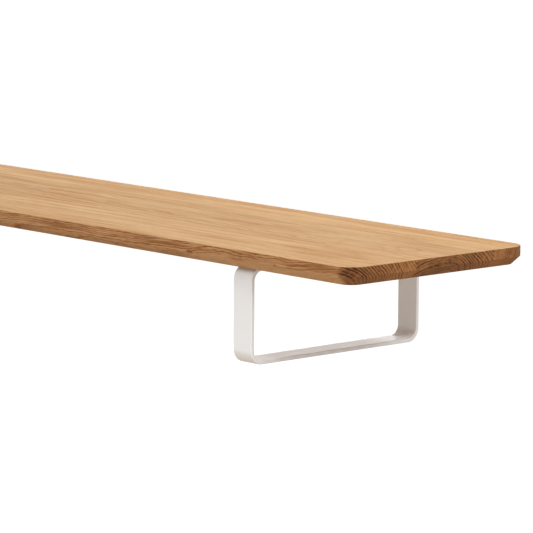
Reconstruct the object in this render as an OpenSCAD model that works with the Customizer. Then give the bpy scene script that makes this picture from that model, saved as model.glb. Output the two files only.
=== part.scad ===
// Wall shelf: an oak board on two closed loops of flat steel bar.
//
// The board is glued up from three full-length oak staves. Its corners are
// rounded in plan, and a 45 degree bevel runs round its underside. Each loop
// is a flat bar bent to a rounded rectangle that stands across the board. Its
// rear leg is flush with the board's rear edge, where both meet the wall, and
// its top run is screwed up into threaded inserts in the board's underside.
//
// Millimetres. +X runs along the board, +Y is the wall side, +Z is up. The
// origin is at the middle of the footprint, level with the loops' underside.

/* [Board] */
// Length of the board
board_l = 1400; // [1000:10:2000]
// Depth of the board, front edge to wall
board_d = 290; // [270:2:340]
// Thickness of the board
board_t = 22; // [20:1:30]
// Corner radius of the board seen from above
corner_r = 26; // [18:1:50]
// Height of the bevel round the underside
bevel_h = 10; // [4:0.5:12]
// How far the bevel reaches in under the board
bevel_in = 10.5; // [4:0.5:14]
// Depth of the front stave
front_stave_d = 106; // [95:1:115]
// Depth of the rear stave, next to the wall
rear_stave_d = 60; // [52:1:66]

/* [Loops] */
// Height of a loop, which is the clear height under the board
loop_h = 116; // [80:1:180]
// Width of the flat bar, along the board
bar_w = 32; // [25:1:50]
// Thickness of the flat bar
bar_t = 5; // [4:0.5:8]
// Outer radius of the loop's four bends
bend_r = 17; // [12:0.5:24]
// From the board's front edge back to the loop's front leg
front_inset = 17; // [14:0.5:40]
// From the board's end to the bar's near edge
end_inset = 183; // [60:1:300]

/* [Fixings] */
// Thread diameter of the screws
screw_d = 6; // [5:0.5:6]
// Length of a screw under its head
screw_l = 16; // [14:1:18]
// Outer diameter of a threaded insert
insert_d = 10; // [9.5:0.5:11]
// Length of a threaded insert
insert_l = 13; // [11:1:14]
// How far the slotted holes let the board move, front to rear
slot_travel = 6; // [2:1:10]
// Diameter of the wall screw hole in each rear leg
wall_hole_d = 6; // [5:0.5:8]
// From the board's underside down to the wall screw hole
wall_hole_drop = 24; // [22:1:26]

/* [Hidden] */
$fn = 96;

// Colours
oak_light = [0.80, 0.64, 0.46];
oak_mid = [0.77, 0.60, 0.42];
oak_deep = [0.74, 0.57, 0.39];
coat_white = [0.90, 0.88, 0.85];
zinc = [0.72, 0.73, 0.75];
insert_alloy = [0.62, 0.60, 0.55];

// Board
front_y = -board_d / 2;
wall_y = board_d / 2;
under_z = loop_h;
front_joint_y = front_y + front_stave_d;
rear_joint_y = wall_y - rear_stave_d;

// Loops
LEFT = -1;
RIGHT = 1;
loop_d = board_d - front_inset;
loop_y = front_y + front_inset;
loop_x = board_l / 2 - end_inset - bar_w / 2;
top_run_front_y = loop_y + bend_r;
top_run_rear_y = wall_y - bend_r;

// Fixings: one screw into each stave, in the middle of the stretch where the
// stave lies on the loop's straight top run.
FRONT = (top_run_front_y + front_joint_y) / 2;
MIDDLE = (front_joint_y + rear_joint_y) / 2;
REAR = (rear_joint_y + top_run_rear_y) / 2;
clearance = 0.6;
thread_clearance = 0.1;
washer_d = 12;
washer_t = 1.6;
head_d = 10.5;
head_h = 3.3;
head_rim_h = 0.8;
socket_across = 4;
socket_depth = 2;
insert_pocket_l = insert_l + 1;
insert_ridges = 6;
ridge_depth = 0.7;
insert_hex_across = 7.2;
insert_hex_depth = 3;
cut = 1;

function hex_d(across) = across / cos(30);

// Filled rectangle with round corners, its lower left corner at the origin.
module round_rect(w, h, r) {
    translate([r, 0]) square([w - 2 * r, h]);
    translate([0, r]) square([w, h - 2 * r]);
    for (x = [r, w - r])
        for (y = [r, h - r])
            translate([x, y]) circle(r);
}

// Half of the board's edge section: square above, bevelled below.
module edge_section(half_w) {
    polygon([
        [0, 0],
        [half_w - bevel_in, 0],
        [half_w, bevel_h],
        [half_w, board_t],
        [0, board_t]
    ]);
}

module full_section(half_w) {
    edge_section(half_w);
    mirror([1, 0]) edge_section(half_w);
}

// The whole board before it is divided into staves.
module board_blank() {
    straight_x = board_l - 2 * corner_r;
    straight_y = board_d - 2 * corner_r;
    translate([0, 0, under_z]) {
        translate([-straight_x / 2, 0, 0])
            rotate([90, 0, 90])
                linear_extrude(straight_x) full_section(board_d / 2);
        translate([0, straight_y / 2, 0])
            rotate([90, 0, 0])
                linear_extrude(straight_y) full_section(board_l / 2);
        for (x = [-1, 1])
            for (y = [-1, 1])
                translate([x * straight_x / 2, y * straight_y / 2, 0])
                    rotate_extrude() edge_section(corner_r);
    }
}

// The stretch of the board from one glue joint to the next, with the pockets
// for the inserts that it holds.
module stave(from_y, to_y, fixing_y) {
    difference() {
        intersection() {
            board_blank();
            translate([-board_l / 2 - cut, from_y, under_z - cut])
                cube([board_l + 2 * cut, to_y - from_y, board_t + 2 * cut]);
        }
        for (side = [LEFT, RIGHT])
            translate([side * loop_x, fixing_y, under_z - cut])
                cylinder(d = insert_d, h = insert_pocket_l + cut);
    }
}

module stave_front() {
    color(oak_mid) stave(front_y - cut, front_joint_y, FRONT);
}

module stave_middle() {
    color(oak_light) stave(front_joint_y, rear_joint_y, MIDDLE);
}

module stave_rear() {
    color(oak_deep) stave(rear_joint_y, wall_y + cut, REAR);
}

// Closed loop of flat bar. The rear screw hole is round, so that the board's
// rear edge stays on the wall line; the other two are slots, so that the
// board can swell and shrink towards the front.
module loop(side) {
    hole_r = (screw_d + clearance) / 2;
    color(coat_white)
        translate([side * loop_x, 0, 0])
            difference() {
                translate([-bar_w / 2, loop_y, 0])
                    rotate([90, 0, 90])
                        linear_extrude(bar_w)
                            difference() {
                                round_rect(loop_d, loop_h, bend_r);
                                translate([bar_t, bar_t])
                                    round_rect(loop_d - 2 * bar_t, loop_h - 2 * bar_t, bend_r - bar_t);
                            }
                translate([0, REAR, loop_h - bar_t - cut])
                    cylinder(r = hole_r, h = bar_t + 2 * cut);
                for (y = [FRONT, MIDDLE])
                    translate([0, y, loop_h - bar_t - cut])
                        slot(hole_r, bar_t + 2 * cut);
                translate([0, wall_y + cut, loop_h - wall_hole_drop])
                    rotate([90, 0, 0])
                        cylinder(d = wall_hole_d, h = bar_t + 2 * cut);
            }
}

// Round-ended slot along Y.
module slot(r, h) {
    for (y = [-1, 1])
        translate([0, y * slot_travel / 2, 0]) cylinder(r = r, h = h);
    translate([-r, -slot_travel / 2, 0]) cube([2 * r, slot_travel, h]);
}

module loop_left() {
    loop(LEFT);
}

module loop_right() {
    loop(RIGHT);
}

// Threaded insert: ridged outside, bored for the screw, with a hexagonal
// drive at its mouth.
module insert(side, y) {
    ridge_l = insert_l / insert_ridges;
    color(insert_alloy)
        translate([side * loop_x, y, under_z])
            difference() {
                rotate_extrude()
                    difference() {
                        square([insert_d / 2, insert_l]);
                        for (i = [0 : insert_ridges - 1])
                            translate([insert_d / 2, i * ridge_l])
                                polygon([
                                    [-ridge_depth, 0.3 * ridge_l],
                                    [cut, 0.05 * ridge_l],
                                    [cut, 0.95 * ridge_l],
                                    [-ridge_depth, 0.7 * ridge_l]
                                ]);
                    }
                translate([0, 0, -cut])
                    cylinder(d = screw_d, h = insert_l + 2 * cut);
                translate([0, 0, -cut])
                    cylinder(d = hex_d(insert_hex_across), h = insert_hex_depth + cut, $fn = 6);
            }
}

module washer(side, y) {
    color(zinc)
        translate([side * loop_x, y, loop_h - bar_t - washer_t])
            difference() {
                cylinder(d = washer_d, h = washer_t);
                translate([0, 0, -cut])
                    cylinder(d = screw_d + clearance, h = washer_t + 2 * cut);
            }
}

// Button-head screw with a hexagonal socket, driven upwards.
module screw(side, y) {
    color(zinc)
        translate([side * loop_x, y, loop_h - bar_t - washer_t])
            difference() {
                union() {
                    cylinder(d = screw_d - thread_clearance, h = screw_l);
                    mirror([0, 0, 1]) button_head();
                }
                translate([0, 0, -head_h - cut])
                    cylinder(d = hex_d(socket_across), h = socket_depth + cut, $fn = 6);
            }
}

// Domed head with a short straight rim, its flat side at z = 0.
module button_head() {
    dome_h = head_h - head_rim_h;
    dome_r = (pow(head_d / 2, 2) + pow(dome_h, 2)) / (2 * dome_h);
    cylinder(d = head_d, h = head_rim_h);
    intersection() {
        translate([0, 0, head_h - dome_r]) sphere(dome_r);
        translate([0, 0, head_rim_h]) cylinder(d = head_d, h = dome_h);
    }
}

stave_front();
stave_middle();
stave_rear();
loop_left();
loop_right();
insert(LEFT, FRONT);  // insert_left_front
insert(LEFT, MIDDLE);  // insert_left_middle
insert(LEFT, REAR);  // insert_left_rear
insert(RIGHT, FRONT);  // insert_right_front
insert(RIGHT, MIDDLE);  // insert_right_middle
insert(RIGHT, REAR);  // insert_right_rear
washer(LEFT, FRONT);  // washer_left_front
washer(LEFT, MIDDLE);  // washer_left_middle
washer(LEFT, REAR);  // washer_left_rear
washer(RIGHT, FRONT);  // washer_right_front
washer(RIGHT, MIDDLE);  // washer_right_middle
washer(RIGHT, REAR);  // washer_right_rear
screw(LEFT, FRONT);  // screw_left_front
screw(LEFT, MIDDLE);  // screw_left_middle
screw(LEFT, REAR);  // screw_left_rear
screw(RIGHT, FRONT);  // screw_right_front
screw(RIGHT, MIDDLE);  // screw_right_middle
screw(RIGHT, REAR);  // screw_right_rear
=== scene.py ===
"""Looks for an oak wall shelf on two loops of flat steel bar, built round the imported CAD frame.

Everything is in metres, in the frame of the CAD part: +X along the board, +Y the wall side, +Z up.
"""
import math

import bmesh
import bpy
from mathutils import Matrix, Vector


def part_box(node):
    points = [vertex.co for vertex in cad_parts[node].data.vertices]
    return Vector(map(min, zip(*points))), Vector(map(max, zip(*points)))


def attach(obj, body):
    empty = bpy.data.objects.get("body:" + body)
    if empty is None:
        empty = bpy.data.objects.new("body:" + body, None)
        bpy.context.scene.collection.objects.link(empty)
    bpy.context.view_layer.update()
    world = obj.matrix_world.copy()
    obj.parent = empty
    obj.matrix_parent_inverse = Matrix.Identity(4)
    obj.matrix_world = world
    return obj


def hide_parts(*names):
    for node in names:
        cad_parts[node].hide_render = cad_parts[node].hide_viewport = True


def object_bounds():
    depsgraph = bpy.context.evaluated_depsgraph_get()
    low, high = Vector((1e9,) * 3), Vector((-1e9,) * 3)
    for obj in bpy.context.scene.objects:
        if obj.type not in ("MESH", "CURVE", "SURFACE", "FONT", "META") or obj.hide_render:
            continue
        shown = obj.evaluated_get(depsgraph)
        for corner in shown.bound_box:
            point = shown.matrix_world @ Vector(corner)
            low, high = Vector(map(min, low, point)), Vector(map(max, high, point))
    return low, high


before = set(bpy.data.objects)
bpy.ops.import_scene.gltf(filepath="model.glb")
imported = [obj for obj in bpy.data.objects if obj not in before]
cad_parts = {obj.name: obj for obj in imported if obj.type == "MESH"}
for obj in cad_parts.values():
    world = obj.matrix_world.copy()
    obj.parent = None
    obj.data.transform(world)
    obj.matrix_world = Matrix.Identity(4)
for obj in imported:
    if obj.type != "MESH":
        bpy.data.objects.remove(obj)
cad_low, cad_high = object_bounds()

board_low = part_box("stave_front")[0].z

MM = 0.001
SIDES = ("left", "right")
SPOTS = ("front", "middle", "rear")


# ---------------------------------------------------------------- camera, light and floor

def make_camera():
    """A long lens from the front right, a little above the board's top."""
    azimuth = math.radians(47.81)
    elevation = math.radians(8.57)
    roll = math.radians(0.408)
    near_end_top = Vector((cad_high.x, cad_low.y, cad_high.z))
    data = bpy.data.cameras.new("camera")
    data.sensor_width = 36
    data.lens = 247.04
    data.clip_start = 0.1
    data.clip_end = 200
    camera = bpy.data.objects.new("camera", data)
    bpy.context.scene.collection.objects.link(camera)
    forward = Vector((
        -math.sin(azimuth) * math.cos(elevation),
        math.cos(azimuth) * math.cos(elevation),
        -math.sin(elevation),
    ))
    level_right = forward.cross(Vector((0, 0, 1))).normalized()
    level_up = level_right.cross(forward)
    right = level_right * math.cos(roll) + level_up * math.sin(roll)
    up = level_up * math.cos(roll) - level_right * math.sin(roll)
    turn = Matrix((right, up, -forward)).transposed()
    camera.rotation_mode = "QUATERNION"
    camera.rotation_quaternion = turn.to_quaternion()
    camera.location = near_end_top + Vector((2.9354, -2.7867, 0.6117))
    bpy.context.scene.camera = camera


def area_light(name, place, aim, size, watts):
    data = bpy.data.lights.new(name, "AREA")
    data.shape = "RECTANGLE"
    data.size, data.size_y = size
    data.energy = watts
    lamp = bpy.data.objects.new(name, data)
    bpy.context.scene.collection.objects.link(lamp)
    lamp.location = place
    lamp.rotation_mode = "QUATERNION"
    lamp.rotation_quaternion = (Vector(aim) - Vector(place)).to_track_quat("-Z", "Y")


def make_light():
    """Soft studio light: from above, the front and both sides of the right end, and from a wide
    panel far behind."""
    world = bpy.data.worlds.new("studio")
    world.use_nodes = True
    background = world.node_tree.nodes["Background"]
    background.inputs["Color"].default_value = (1, 1, 1, 1)
    background.inputs["Strength"].default_value = 0.44
    bpy.context.scene.world = world
    middle_of_view = (0.4, 0, 0.1)
    area_light("overhead", (-0.7, 0.4, 3.0), (-0.3, 0, 0.1), (3.0, 2.2), 43)
    area_light("front", (0.4, -3.6, 2.2), middle_of_view, (2.4, 1.6), 53)
    area_light("front_right", (3.0, -1.4, 3.2), middle_of_view, (1.6, 1.6), 96)
    area_light("rear_right", (3.0, 1.6, 3.2), middle_of_view, (1.6, 1.6), 70)
    area_light("behind", (-4.6, 4.6, 1.0), middle_of_view, (5.0, 1.8), 66)
    bpy.context.scene.view_settings.view_transform = "Standard"


def make_floor():
    """Pale floor well below the shelf, as under one on a wall, brighter further out."""
    drop = 1.2
    half = 60
    floor_z = cad_low.z - drop
    mesh = bpy.data.meshes.new("floor")
    corners = [(-half, -half, floor_z), (half, -half, floor_z), (half, half, floor_z), (-half, half, floor_z)]
    mesh.from_pydata(corners, [], [(0, 1, 2, 3)])
    floor = bpy.data.objects.new("floor", mesh)
    bpy.context.scene.collection.objects.link(floor)
    floor.data.materials.append(floor_material())


# ---------------------------------------------------------------- material tools

class Graph:
    """A material's node tree, with one short call for each kind of node."""

    def __init__(self, name):
        self.material = bpy.data.materials.new(name)
        self.material.use_nodes = True
        self.tree = self.material.node_tree
        self.tree.nodes.clear()
        self.output = self.tree.nodes.new("ShaderNodeOutputMaterial")
        self.shader = self.tree.nodes.new("ShaderNodeBsdfPrincipled")
        self.link(self.shader.outputs["BSDF"], self.output.inputs["Surface"])
        coords = self.tree.nodes.new("ShaderNodeTexCoord")
        self.point = coords.outputs["Object"]
        self.normal = coords.outputs["Normal"]

    def link(self, source, target):
        self.tree.links.new(source, target)

    def feed(self, socket, value):
        if isinstance(value, bpy.types.NodeSocket):
            self.link(value, socket)
        else:
            socket.default_value = value

    def math(self, operation, a, b=0.0, c=0.0, clamp=False):
        node = self.tree.nodes.new("ShaderNodeMath")
        node.operation = operation
        node.use_clamp = clamp
        for socket, value in zip(node.inputs, (a, b, c)):
            self.feed(socket, value)
        return node.outputs[0]

    def vector(self, operation, a, b=(0, 0, 0)):
        node = self.tree.nodes.new("ShaderNodeVectorMath")
        node.operation = operation
        self.feed(node.inputs[0], a)
        self.feed(node.inputs[1], b)
        return node.outputs["Vector"]

    def split(self, value):
        node = self.tree.nodes.new("ShaderNodeSeparateXYZ")
        self.feed(node.inputs[0], value)
        return node.outputs

    def join(self, x, y, z):
        node = self.tree.nodes.new("ShaderNodeCombineXYZ")
        for socket, value in zip(node.inputs, (x, y, z)):
            self.feed(socket, value)
        return node.outputs[0]

    def noise(self, at, detail=2.0, roughness=0.5, distortion=0.0, output="Fac"):
        node = self.tree.nodes.new("ShaderNodeTexNoise")
        self.feed(node.inputs["Vector"], at)
        node.inputs["Scale"].default_value = 1.0
        node.inputs["Detail"].default_value = detail
        node.inputs["Roughness"].default_value = roughness
        node.inputs["Distortion"].default_value = distortion
        return node.outputs[output]

    def even_noise(self, scale, detail, roughness):
        """Noise that is alike in every direction."""
        return self.noise(self.vector("MULTIPLY", self.point, (scale, scale, scale)), detail, roughness)

    def fade(self, value, low, high, to_low=0.0, to_high=1.0):
        """Smooth step of value from low to high."""
        node = self.tree.nodes.new("ShaderNodeMapRange")
        node.interpolation_type = "SMOOTHSTEP"
        for name, number in (("Value", value), ("From Min", low), ("From Max", high),
                             ("To Min", to_low), ("To Max", to_high)):
            self.feed(node.inputs[name], number)
        return node.outputs["Result"]

    def mix(self, factor, a, b):
        node = self.tree.nodes.new("ShaderNodeMix")
        node.data_type = "RGBA"
        self.feed(node.inputs["Factor"], factor)
        self.feed(node.inputs["A"], a)
        self.feed(node.inputs["B"], b)
        return node.outputs["Result"]

    def scaled(self, colour, factor):
        """Colour times a number."""
        return self.vector("MULTIPLY", colour, self.join(factor, factor, factor))

    def bump(self, height, distance):
        node = self.tree.nodes.new("ShaderNodeBump")
        node.inputs["Strength"].default_value = 1.0
        node.inputs["Distance"].default_value = distance
        self.link(height, node.inputs["Height"])
        self.link(node.outputs["Normal"], self.shader.inputs["Normal"])


def floor_material():
    """Warm pale floor that turns white and glows further out, most of all behind the shelf."""
    near, far = 3.0, 4.5
    g = Graph("floor_paper")
    x, y, z = g.split(g.point)
    distance = g.math("SQRT", g.math("MULTIPLY_ADD", x, x, g.math("MULTIPLY", y, y)))
    behind = g.fade(g.math("MULTIPLY_ADD", x, -0.74, g.math("MULTIPLY", y, 0.67)), near, far)
    glow = g.math("MULTIPLY", g.fade(distance, near, far), g.math("MULTIPLY_ADD", behind, 0.45, 0.55))
    g.feed(g.shader.inputs["Base Color"], g.mix(glow, (0.56, 0.46, 0.36, 1), (0.9, 0.9, 0.9, 1)))
    g.shader.inputs["Roughness"].default_value = 0.9
    g.shader.inputs["Specular IOR Level"].default_value = 0.0
    g.shader.inputs["Emission Color"].default_value = (1, 1, 1, 1)
    g.feed(g.shader.inputs["Emission Strength"], g.math("MULTIPLY", glow, 0.61))
    return g.material


# ---------------------------------------------------------------- oak

OAK_LIGHT = (0.453, 0.280, 0.125, 1)
OAK_TOP_DARK = (0.290, 0.116, 0.018, 1)
OAK_EDGE_DARK = (0.200, 0.080, 0.021, 1)
OAK_END_LIGHT = (0.345, 0.152, 0.053, 1)
OAK_END_DARK = (0.056, 0.017, 0.005, 1)


WANDER = 30 * MM
CURL = 26 * MM
RIPPLE = 2.4 * MM


class Oak(Graph):
    """Oak as a solid: growth rings round a pith line that leans along the board.

    The same rings show as arcs on the end grain and as straight or flame figure on the long
    faces. seed shifts every noise, so that no two staves are alike.
    """

    def __init__(self, name, seed):
        super().__init__(name)
        self.seed = seed
        self.shift = (seed * 3.7, seed * 1.9, seed * 5.3)
        self.x, self.y, self.z = self.split(self.point)
        self.from_end = self.math("SUBTRACT", self.x, cad_high.x)
        self.curl = self.offset(10, 13)

    def fibres(self, along, across, detail=2, roughness=0.5, distortion=0.0, output="Fac"):
        """Noise drawn out along the fibres, which run along X."""
        at = self.vector("MULTIPLY", self.point, (along, across, across))
        return self.noise(self.vector("ADD", at, self.shift), detail, roughness, distortion, output)

    def offset(self, along, across):
        """The same noise as three numbers centred on nought."""
        noise = self.fibres(along, across, output="Color")
        return self.split(self.vector("SUBTRACT", noise, (0.5, 0.5, 0.5)))

    def noise_over(self, parts, detail, roughness):
        """Noise read at three (value, scale) pairs."""
        at = self.join(*(self.math("MULTIPLY", value, scale) for value, scale in parts))
        return self.noise(self.vector("ADD", at, self.shift), detail, roughness)

    def rings(self, pith, lean, ring):
        """Number of rings from the pith, distance from the pith and angle round it.

        The rings wander along the board, curl near its right end, and ripple finely.
        """
        nearing_end = self.fade(self.from_end, -0.32, -0.20, 0.35, 1.0)
        curly = self.math("MULTIPLY", nearing_end, self.fade(self.from_end, -0.06, -0.02, 1.0, 0.4))
        wander = self.offset(1.7, 9)
        ripple = self.offset(90, 250)
        across = []
        for axis, value in ((1, self.y), (2, self.z)):
            pith_line = self.math("MULTIPLY_ADD", self.from_end, lean[axis - 1], pith[axis - 1])
            away = self.math("SUBTRACT", value, pith_line)
            away = self.math("MULTIPLY_ADD", wander[axis], WANDER, away)
            away = self.math("MULTIPLY_ADD", self.math("MULTIPLY", self.curl[axis], curly), CURL, away)
            across.append(self.math("MULTIPLY_ADD", ripple[axis], RIPPLE, away))
        away_y, away_z = across
        squares = self.math("MULTIPLY_ADD", away_y, away_y, self.math("MULTIPLY", away_z, away_z))
        radius = self.math("SQRT", squares)
        angle = self.math("ARCTAN2", away_y, away_z)
        count = self.math("DIVIDE", radius, ring)
        uneven = self.noise(self.join(self.math("MULTIPLY", count, 0.37), self.seed * 2.1, 0.0), 1)
        return self.math("MULTIPLY_ADD", uneven, 1.2, count), radius, angle

    def ring_band(self, count, rise, start, stop):
        """The dark porous band in each ring, from its rise until it fades into dense late wood."""
        phase = self.math("FRACT", count)
        own = self.tree.nodes.new("ShaderNodeTexWhiteNoise")
        own.noise_dimensions = "1D"
        self.feed(own.inputs["W"], self.math("FLOOR", count))
        strength = self.math("MULTIPLY_ADD", own.outputs["Value"], 0.6, 0.4)
        risen = self.fade(phase, 0.0, rise)
        dense = self.math("MULTIPLY", risen, self.fade(phase, start, stop, 1.0, 0.0))
        return self.math("MULTIPLY", dense, strength)

    def inside(self, ragged, centre, size):
        """One within an ellipsoid with a ragged rim, nought outside."""
        offsets = self.vector("DIVIDE", self.vector("SUBTRACT", self.point, centre), size)
        length = self.tree.nodes.new("ShaderNodeVectorMath")
        length.operation = "LENGTH"
        self.link(offsets, length.inputs[0])
        return self.fade(self.math("ADD", length.outputs["Value"], ragged), 0.55, 1.25, 1.0, 0.0)


def oak(name, pith, lean, ring, seed, contrast, tone, patches, calm=()):
    """Oak for one stave.

    pith: y and z where the pith crosses the right end; lean: its slopes along X; ring: mean ring
    width; contrast: how strongly the rings show; tone: overall lightness; patches: (centre, half
    size, amount) of darker or lighter figure and of painted light; calm: (centre, half size)
    where the rings fade.
    """
    g = Oak(name, seed)
    count, radius, angle = g.rings(pith, lean, ring)
    band = g.ring_band(count, 0.20, 0.32, 0.78)
    narrow_band = g.ring_band(g.math("MULTIPLY", count, 1.7), 0.14, 0.22, 0.50)
    flow = g.fade(g.noise_over(((count, 2.6), (g.x, 16.0), (angle, 7.0)), 3, 0.65), 0.48, 0.64)
    worn = g.fade(g.fibres(24, 70), 0.32, 0.60, 0.45, 1.0)

    # Which way the surface faces: end grain, long edge or bevel.
    normal_x, normal_y, normal_z = g.split(g.normal)
    end = g.fade(g.math("ABSOLUTE", normal_x), 0.08, 0.45)
    edge = g.fade(g.math("ABSOLUTE", normal_y), 0.3, 0.7)
    bevel = g.math("MULTIPLY", g.fade(normal_z, -0.95, -0.85), g.fade(normal_z, -0.6, -0.2, 1.0, 0.0))

    # Rings show less low on the edge, and less on the bevel towards the right end.
    level = g.math("MULTIPLY_ADD", g.curl[2], CURL, g.z)
    upper = g.fade(level, board_low + 10 * MM, board_low + 17 * MM, 0.68, 1.0)
    clean_bevel = g.math("MULTIPLY", bevel, g.fade(g.from_end, -0.34, -0.22, 0.35, 1.0))
    clean = g.math("MULTIPLY_ADD", clean_bevel, -0.75, 1.0)

    # Fibres, pores, rays and slow changes of tone.
    fibre = g.fibres(14, 620, 3, 0.6)
    fine = g.fibres(6.0, 105, 3, 0.6)
    streak = g.fibres(3.4, 62, 3, 0.6)
    slow = g.fibres(2.1, 22, 3, 0.55)
    fleck = g.fibres(75, 260, 2, 0.6)
    pore = g.fade(g.fibres(70, 1500, 1, 0.5), 0.57, 0.70)
    pore = g.math("MULTIPLY", pore, g.math("MULTIPLY_ADD", band, 0.9, 0.2))
    ray = g.fade(g.noise_over(((angle, 45.0), (radius, 60.0), (g.x, 22.0)), 1, 0.5), 0.55, 0.72)

    # Knots and other figure in its own place, and patches of painted light.
    ragged = g.math("MULTIPLY_ADD", g.fibres(16, 60, 3, 0.6, distortion=0.6), 1.4, -0.7)
    extra = g.math("MULTIPLY_ADD", fleck, 0.30, -0.15)
    for centre, size, amount in patches:
        extra = g.math("MULTIPLY_ADD", g.inside(ragged, centre, size), amount, extra)
    for centre, size in calm:
        band = g.math("MULTIPLY", band, g.math("MULTIPLY_ADD", g.inside(ragged, centre, size), -0.72, 1.0))

    # Long-grain colour.
    ring_show = g.math("MULTIPLY_ADD", edge, 1.05 * contrast, 0.26 * contrast)
    long_band = g.math("MULTIPLY_ADD", edge, g.math("SUBTRACT", narrow_band, band), band)
    lines = g.math("MULTIPLY_ADD", g.math("MULTIPLY", flow, edge), 0.40, g.math("MULTIPLY", long_band, worn))
    dark = g.math("MULTIPLY", lines, g.math("MULTIPLY", ring_show, upper))
    dark = g.math("MULTIPLY_ADD", g.fade(streak, 0.40, 0.72), 0.28, dark)
    dark = g.math("MULTIPLY_ADD", g.fade(fine, 0.40, 0.70), 0.40, dark)
    dark = g.math("MULTIPLY_ADD", g.fade(slow, 0.35, 0.70), 0.26, dark)
    dark = g.math("MULTIPLY_ADD", fibre, 0.40, g.math("SUBTRACT", dark, 0.20))
    dark = g.math("MULTIPLY_ADD", pore, 0.40, dark)
    dark = g.math("MULTIPLY_ADD", ray, -0.10, dark)
    dark = g.math("MULTIPLY_ADD", bevel, -0.05, g.math("MULTIPLY", dark, clean))
    dark = g.math("ADD", dark, extra, clamp=True)
    long_grain = g.mix(dark, OAK_LIGHT, g.mix(edge, OAK_TOP_DARK, OAK_EDGE_DARK))

    # End-grain colour.
    end_dark = g.math("MULTIPLY", g.math("MULTIPLY_ADD", flow, 0.40, band), 0.80 * contrast)
    end_dark = g.math("ADD", end_dark, g.math("MULTIPLY_ADD", slow, 0.9, -0.18))
    end_dark = g.math("MULTIPLY_ADD", pore, 0.25, end_dark)
    end_dark = g.math("MULTIPLY_ADD", ray, -0.26, end_dark)
    end_clean = g.math("MULTIPLY_ADD", bevel, -0.35, 1.0)
    end_dark = g.math("ADD", g.math("MULTIPLY", end_dark, end_clean), extra, clamp=True)
    end_grain = g.mix(end_dark, OAK_END_LIGHT, OAK_END_DARK)

    # Painted light: the long edges facing front and back are made a little lighter than the top.
    painted_edge_light = g.join(*(g.math("MULTIPLY_ADD", edge, more, tone) for more in (0.16, 0.075, 0.14)))
    colour = g.mix(end, g.vector("MULTIPLY", long_grain, painted_edge_light), g.scaled(end_grain, tone))
    g.feed(g.shader.inputs["Base Color"], colour)
    roughness = g.math("MULTIPLY_ADD", g.math("ADD", band, pore), 0.10, 0.56)
    g.feed(g.shader.inputs["Roughness"], roughness)
    g.shader.inputs["Specular IOR Level"].default_value = 0.11
    dips = g.math("MULTIPLY_ADD", band, 0.35, pore)
    g.bump(g.math("SUBTRACT", g.math("MULTIPLY", fibre, 0.5), dips), 0.06 * MM)
    return g.material


# ---------------------------------------------------------------- metal

def powder_coat():
    """Warm white satin coat with the fine orange peel of a baked powder."""
    g = Graph("bracket_coat_satin")
    peel = g.even_noise(420, 2, 0.5)
    grit = g.even_noise(2600, 1, 0.5)
    cloud = g.even_noise(18, 3, 0.55)
    tint = g.math("MULTIPLY_ADD", cloud, 0.5, g.math("MULTIPLY", grit, 0.3), clamp=True)
    g.feed(g.shader.inputs["Base Color"], g.mix(tint, (0.835, 0.838, 0.846, 1), (0.800, 0.803, 0.811, 1)))
    g.feed(g.shader.inputs["Roughness"], g.math("MULTIPLY_ADD", cloud, 0.10, 0.33))
    g.bump(g.math("MULTIPLY_ADD", grit, 0.25, peel), 0.02 * MM)
    return g.material


def zinc_plate():
    """Bright zinc with dull spots and faint marks round each screw and washer."""
    g = Graph("zinc_plate")
    spots = g.even_noise(900, 3, 0.6)
    lines = g.noise(g.vector("MULTIPLY", g.point, (300, 300, 4200)), 2, 0.5)
    g.feed(g.shader.inputs["Base Color"], g.mix(spots, (0.62, 0.64, 0.67, 1), (0.46, 0.47, 0.50, 1)))
    g.shader.inputs["Metallic"].default_value = 1.0
    g.feed(g.shader.inputs["Roughness"], g.math("MULTIPLY_ADD", spots, 0.25, 0.22))
    g.bump(lines, 0.01 * MM)
    return g.material


def insert_metal():
    """Dull cast alloy."""
    g = Graph("insert_cast")
    grain = g.even_noise(1400, 3, 0.6)
    g.feed(g.shader.inputs["Base Color"], g.mix(grain, (0.50, 0.46, 0.38, 1), (0.34, 0.31, 0.26, 1)))
    g.shader.inputs["Metallic"].default_value = 1.0
    g.feed(g.shader.inputs["Roughness"], g.math("MULTIPLY_ADD", grain, 0.25, 0.40))
    g.bump(grain, 0.02 * MM)
    return g.material


# ---------------------------------------------------------------- fine shapes of board and loops

BAR_T = 5 * MM
BEND_R = 17 * MM
BEND_STEPS = 18
BAR_ARRIS = 1.2 * MM
CORNER_R = 26 * MM
BEVEL_H = 10 * MM
BEVEL_IN = 10.5 * MM
BEVEL_ALONG = 0.72
BEVEL_UP = 0.69
TOP_ARRIS = 0.7 * MM
LOW_ARRIS = 0.5 * MM
SCREW_HOLE_R = 3.3 * MM
SLOT_TRAVEL = 6 * MM
WALL_HOLE_R = 3.0 * MM
WALL_HOLE_DROP = 24 * MM
INSERT_POCKET_L = 14 * MM
SHARP_ANGLE = 32


def arc(centre, radius, start, turn, steps):
    """Points on an arc, in degrees, both ends included."""
    return [
        (
            centre[0] + radius * math.cos(math.radians(start + turn * i / steps)),
            centre[1] + radius * math.sin(math.radians(start + turn * i / steps)),
        )
        for i in range(steps + 1)
    ]


def round_outline(low, high, radius, steps):
    """Rounded rectangle, anticlockwise from its lower left bend."""
    (x0, y0), (x1, y1) = low, high
    centres = ((x0 + radius, y0 + radius, 180), (x1 - radius, y0 + radius, 270),
               (x1 - radius, y1 - radius, 0), (x0 + radius, y1 - radius, 90))
    return [p for x, y, start in centres for p in arc((x, y), radius, start, 90, steps)]


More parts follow.
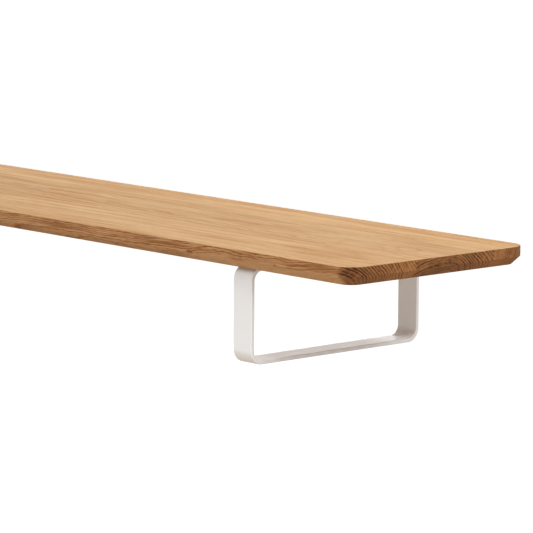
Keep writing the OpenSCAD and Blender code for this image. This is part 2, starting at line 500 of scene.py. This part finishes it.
def skin(name, rings, closed):
    """Mesh object through rings of equally many points. closed joins the last ring to the first;
    otherwise the two ends are capped."""
    bm = bmesh.new()
    rows = [[bm.verts.new(p) for p in ring] for ring in rings]
    pairs = list(zip(rows, rows[1:] + rows[:1])) if closed else list(zip(rows, rows[1:]))
    for a, b in pairs:
        for i in range(len(a)):
            j = (i + 1) % len(a)
            bm.faces.new((a[i], a[j], b[j], b[i]))
    if not closed:
        bm.faces.new(rows[0][::-1])
        bm.faces.new(rows[-1])
    bmesh.ops.recalc_face_normals(bm, faces=bm.faces)
    mesh = bpy.data.meshes.new(name)
    bm.to_mesh(mesh)
    bm.free()
    obj = bpy.data.objects.new(name, mesh)
    bpy.context.scene.collection.objects.link(obj)
    return obj


def rod(centre, direction, radius, length, travel=0.0):
    """Cutter for a round hole, or with travel a slot along Y. centre is the middle of its length."""
    side = direction.orthogonal().normalized() if travel == 0 else Vector((1, 0, 0))
    other = direction.cross(side)
    round_points = round_outline((-radius, -radius - travel / 2), (radius, radius + travel / 2), radius, 12)
    ends = [
        [centre + side * u + other * v + direction * length * k for u, v in round_points]
        for k in (-0.5, 0.5)
    ]
    return skin("cutter", ends, closed=False)


def cut_out(obj, cutters):
    for cutter in cutters:
        boolean = obj.modifiers.new("cut", "BOOLEAN")
        boolean.operation = "DIFFERENCE"
        boolean.solver = "EXACT"
        boolean.object = cutter
    bpy.context.view_layer.update()
    done = bpy.data.meshes.new_from_object(obj.evaluated_get(bpy.context.evaluated_depsgraph_get()))
    obj.modifiers.clear()
    obj.data = done
    for cutter in cutters:
        bpy.data.objects.remove(cutter)


def finish_piece(obj, node, material):
    """Smooth shading that keeps flat faces flat, then the piece takes its node's place."""
    obj.data.shade_smooth()
    obj.data.set_sharp_from_angle(angle=math.radians(SHARP_ANGLE))
    even = obj.modifiers.new("even_normals", "WEIGHTED_NORMAL")
    even.keep_sharp = True
    obj.data.materials.clear()
    obj.data.materials.append(material)
    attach(obj, "root")
    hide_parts(node)


def middle(node):
    low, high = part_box(node)
    return (low + high) / 2


def bar_loop(side, material):
    """Flat bar with softened arrises, swept round a rounded rectangle and drilled."""
    node = f"loop_{side}"
    low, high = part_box(node)
    section = round_outline((low.x, 0), (high.x, BAR_T), BAR_ARRIS, 4)
    bends = ((low.y, low.z, 1, 1, 180), (high.y, low.z, -1, 1, 270),
             (high.y, high.z, -1, -1, 0), (low.y, high.z, 1, -1, 90))
    rings = []
    for y, z, in_y, in_z, start in bends:
        centre = (y + in_y * BEND_R, z + in_z * BEND_R)
        for step in range(BEND_STEPS + 1):
            angle = math.radians(start + 90 * step / BEND_STEPS)
            out_y, out_z = math.cos(angle), math.sin(angle)
            rings.append([
                (x, centre[0] + (BEND_R - depth) * out_y, centre[1] + (BEND_R - depth) * out_z)
                for x, depth in section
            ])
    loop = skin(f"{node}_bar", rings, closed=True)
    up = Vector((0, 0, 1))
    run_z = high.z - BAR_T / 2
    cutters = []
    for spot in SPOTS:
        at = middle(f"screw_{side}_{spot}")
        travel = 0.0 if spot == "rear" else SLOT_TRAVEL
        cutters.append(rod(Vector((at.x, at.y, run_z)), up, SCREW_HOLE_R, 3 * BAR_T, travel))
    wall = Vector(((low.x + high.x) / 2, high.y - BAR_T / 2, high.z - WALL_HOLE_DROP))
    cutters.append(rod(wall, Vector((0, 1, 0)), WALL_HOLE_R, 3 * BAR_T))
    cut_out(loop, cutters)
    finish_piece(loop, node, material)


def edge_levels(thickness):
    """The board's edge section from the underside up, as (inset, height), arrises eased."""
    levels = eased_low(BEVEL_IN, 0) + eased_high(0, BEVEL_H)
    levels += [(TOP_ARRIS - x, thickness - TOP_ARRIS + y) for x, y in arc((0, 0), TOP_ARRIS, 0, 90, 4)]
    return levels


def eased_low(x, y):
    """The bevel's lower corner, eased: from the flat underside on to the bevel."""
    return eased((x + LOW_ARRIS, y), (x, y), (x - LOW_ARRIS * BEVEL_ALONG, y + LOW_ARRIS * BEVEL_UP))


def eased_high(x, y):
    """The bevel's upper corner, eased: from the bevel on to the upright edge."""
    return eased((x + LOW_ARRIS * BEVEL_ALONG, y - LOW_ARRIS * BEVEL_UP), (x, y), (x, y + LOW_ARRIS))


def eased(before, corner, after):
    """Three points that round a corner: one before it, one near it and one after it."""
    near = ((before[0] + after[0] + 2 * corner[0]) / 4, (before[1] + after[1] + 2 * corner[1]) / 4)
    return [before, near, after]


def stave(node, material):
    """One stave: the whole board's shape, cut at the glue lines and pocketed for its inserts."""
    low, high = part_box(node)
    base = low.z
    rings = []
    for inset, height in edge_levels(high.z - base):
        near_corner = (cad_low.x + inset, cad_low.y + inset)
        far_corner = (cad_high.x - inset, cad_high.y - inset)
        outline = round_outline(near_corner, far_corner, CORNER_R - inset, 18)
        rings.append([(x, y, base + height) for x, y in outline])
    piece = skin(f"{node}_oak", rings, closed=False)
    bm = bmesh.new()
    bm.from_mesh(piece.data)
    for joint, outward in ((low.y, -1), (high.y, 1)):
        if min(abs(joint - cad_low.y), abs(joint - cad_high.y)) < MM:
            continue
        cut = bmesh.ops.bisect_plane(bm, geom=bm.verts[:] + bm.edges[:] + bm.faces[:], dist=1e-7,
                                     plane_co=(0, joint, 0), plane_no=(0, outward, 0), clear_outer=True)
        rim = [e for e in cut["geom_cut"] if isinstance(e, bmesh.types.BMEdge)]
        bmesh.ops.contextual_create(bm, geom=rim)
    bmesh.ops.recalc_face_normals(bm, faces=bm.faces)
    bm.to_mesh(piece.data)
    bm.free()
    spot = node.removeprefix("stave_")
    cutters = []
    for side in SIDES:
        insert_low, insert_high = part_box(f"insert_{side}_{spot}")
        at = (insert_low + insert_high) / 2
        radius = (insert_high.x - insert_low.x) / 2
        cutters.append(rod(Vector((at.x, at.y, base)), Vector((0, 0, 1)), radius, 2 * INSERT_POCKET_L))
    cut_out(piece, cutters)
    finish_piece(piece, node, material)


def dress(node, material):
    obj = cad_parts[node]
    obj.data.materials.clear()
    obj.data.materials.append(material)


board_mid = (board_low + cad_high.z) / 2
end_x = cad_high.x
front_y = cad_low.y


def front_stave_oak():
    """Its rings slant, with flame figure on top near the right end and knots in the front edge."""
    top = cad_high.z
    flame = ((end_x - 0.105, front_y + 0.068, top), (0.075, 0.026, 0.012), 0.32)
    top_glow = ((end_x - 0.40, front_y + 0.085, top), (0.30, 0.018, 0.012), -0.10)
    knot = ((end_x - 0.274, front_y, board_mid - 0.001), (0.006, 0.006, 0.0022), 0.8)
    pin_knot = ((end_x - 0.125, front_y, top - 0.011), (0.0016, 0.003, 0.0011), 0.7)
    edge_light = ((end_x - 0.255, front_y, board_mid - 0.001), (0.050, 0.004, 0.008), -0.12)
    # Painted light: a lighter patch on the far left of the front edge, which the lamps from the right leave
    # darker.
    far_edge_painted_light = ((end_x - 0.66, front_y, board_mid), (0.120, 0.004, 0.014), -0.14)
    edge_dark = ((end_x - 0.120, front_y, top - 0.004), (0.090, 0.004, 0.006), 0.22)
    corner_swirl = ((end_x - 0.004, front_y + 0.012, board_mid + 0.004), (0.018, 0.024, 0.008), 0.22)
    end_pale = ((end_x, front_y + 0.072, board_mid), (0.020, 0.040, 0.016), -0.14)
    end_glow = ((end_x, front_y + 0.098, board_mid), (0.030, 0.012, 0.012), -0.22)
    return oak(
        "oak_front", pith=(front_y - 0.045, board_low - 0.060), lean=(0.015, 0.022), ring=3.9 * MM,
        seed=1, contrast=1.0, tone=1.0,
        patches=(flame, top_glow, knot, pin_knot, edge_light, far_edge_painted_light, edge_dark, corner_swirl,
                 end_pale, end_glow),
    )


def middle_stave_oak():
    """Its pith lies under the stave, so the end grain shows arches, calm in the middle."""
    slant = ((end_x, front_y + 0.148, board_mid), (0.030, 0.022, 0.014), 0.18)
    rear_band = ((end_x, front_y + 0.190, board_mid + 0.003), (0.030, 0.014, 0.012), 0.08)
    arch_calm = ((end_x, front_y + 0.150, board_mid), (0.080, 0.026, 0.020))
    return oak(
        "oak_middle", pith=(front_y + 0.146, board_low - 0.048), lean=(-0.020, 0.018), ring=3.7 * MM,
        seed=2, contrast=1.0, tone=0.98, patches=(slant, rear_band), calm=(arch_calm,),
    )


def rear_stave_oak():
    """Plain and quarter-sawn, from far out in its log."""
    pale_streak = ((end_x - 0.10, front_y + 0.248, cad_high.z), (0.14, 0.008, 0.012), -0.22)
    return oak(
        "oak_rear", pith=(front_y + 0.520, board_low - 0.040), lean=(0.006, -0.010), ring=3.2 * MM,
        seed=3, contrast=0.45, tone=1.06, patches=(pale_streak,),
    )


make_camera()
make_light()
make_floor()

stave("stave_front", front_stave_oak())
stave("stave_middle", middle_stave_oak())
stave("stave_rear", rear_stave_oak())
coat = powder_coat()
for side in SIDES:
    bar_loop(side, coat)
zinc = zinc_plate()
alloy = insert_metal()
for side in SIDES:
    for spot in SPOTS:
        dress(f"screw_{side}_{spot}", zinc)
        dress(f"washer_{side}_{spot}", zinc)
        dress(f"insert_{side}_{spot}", alloy)
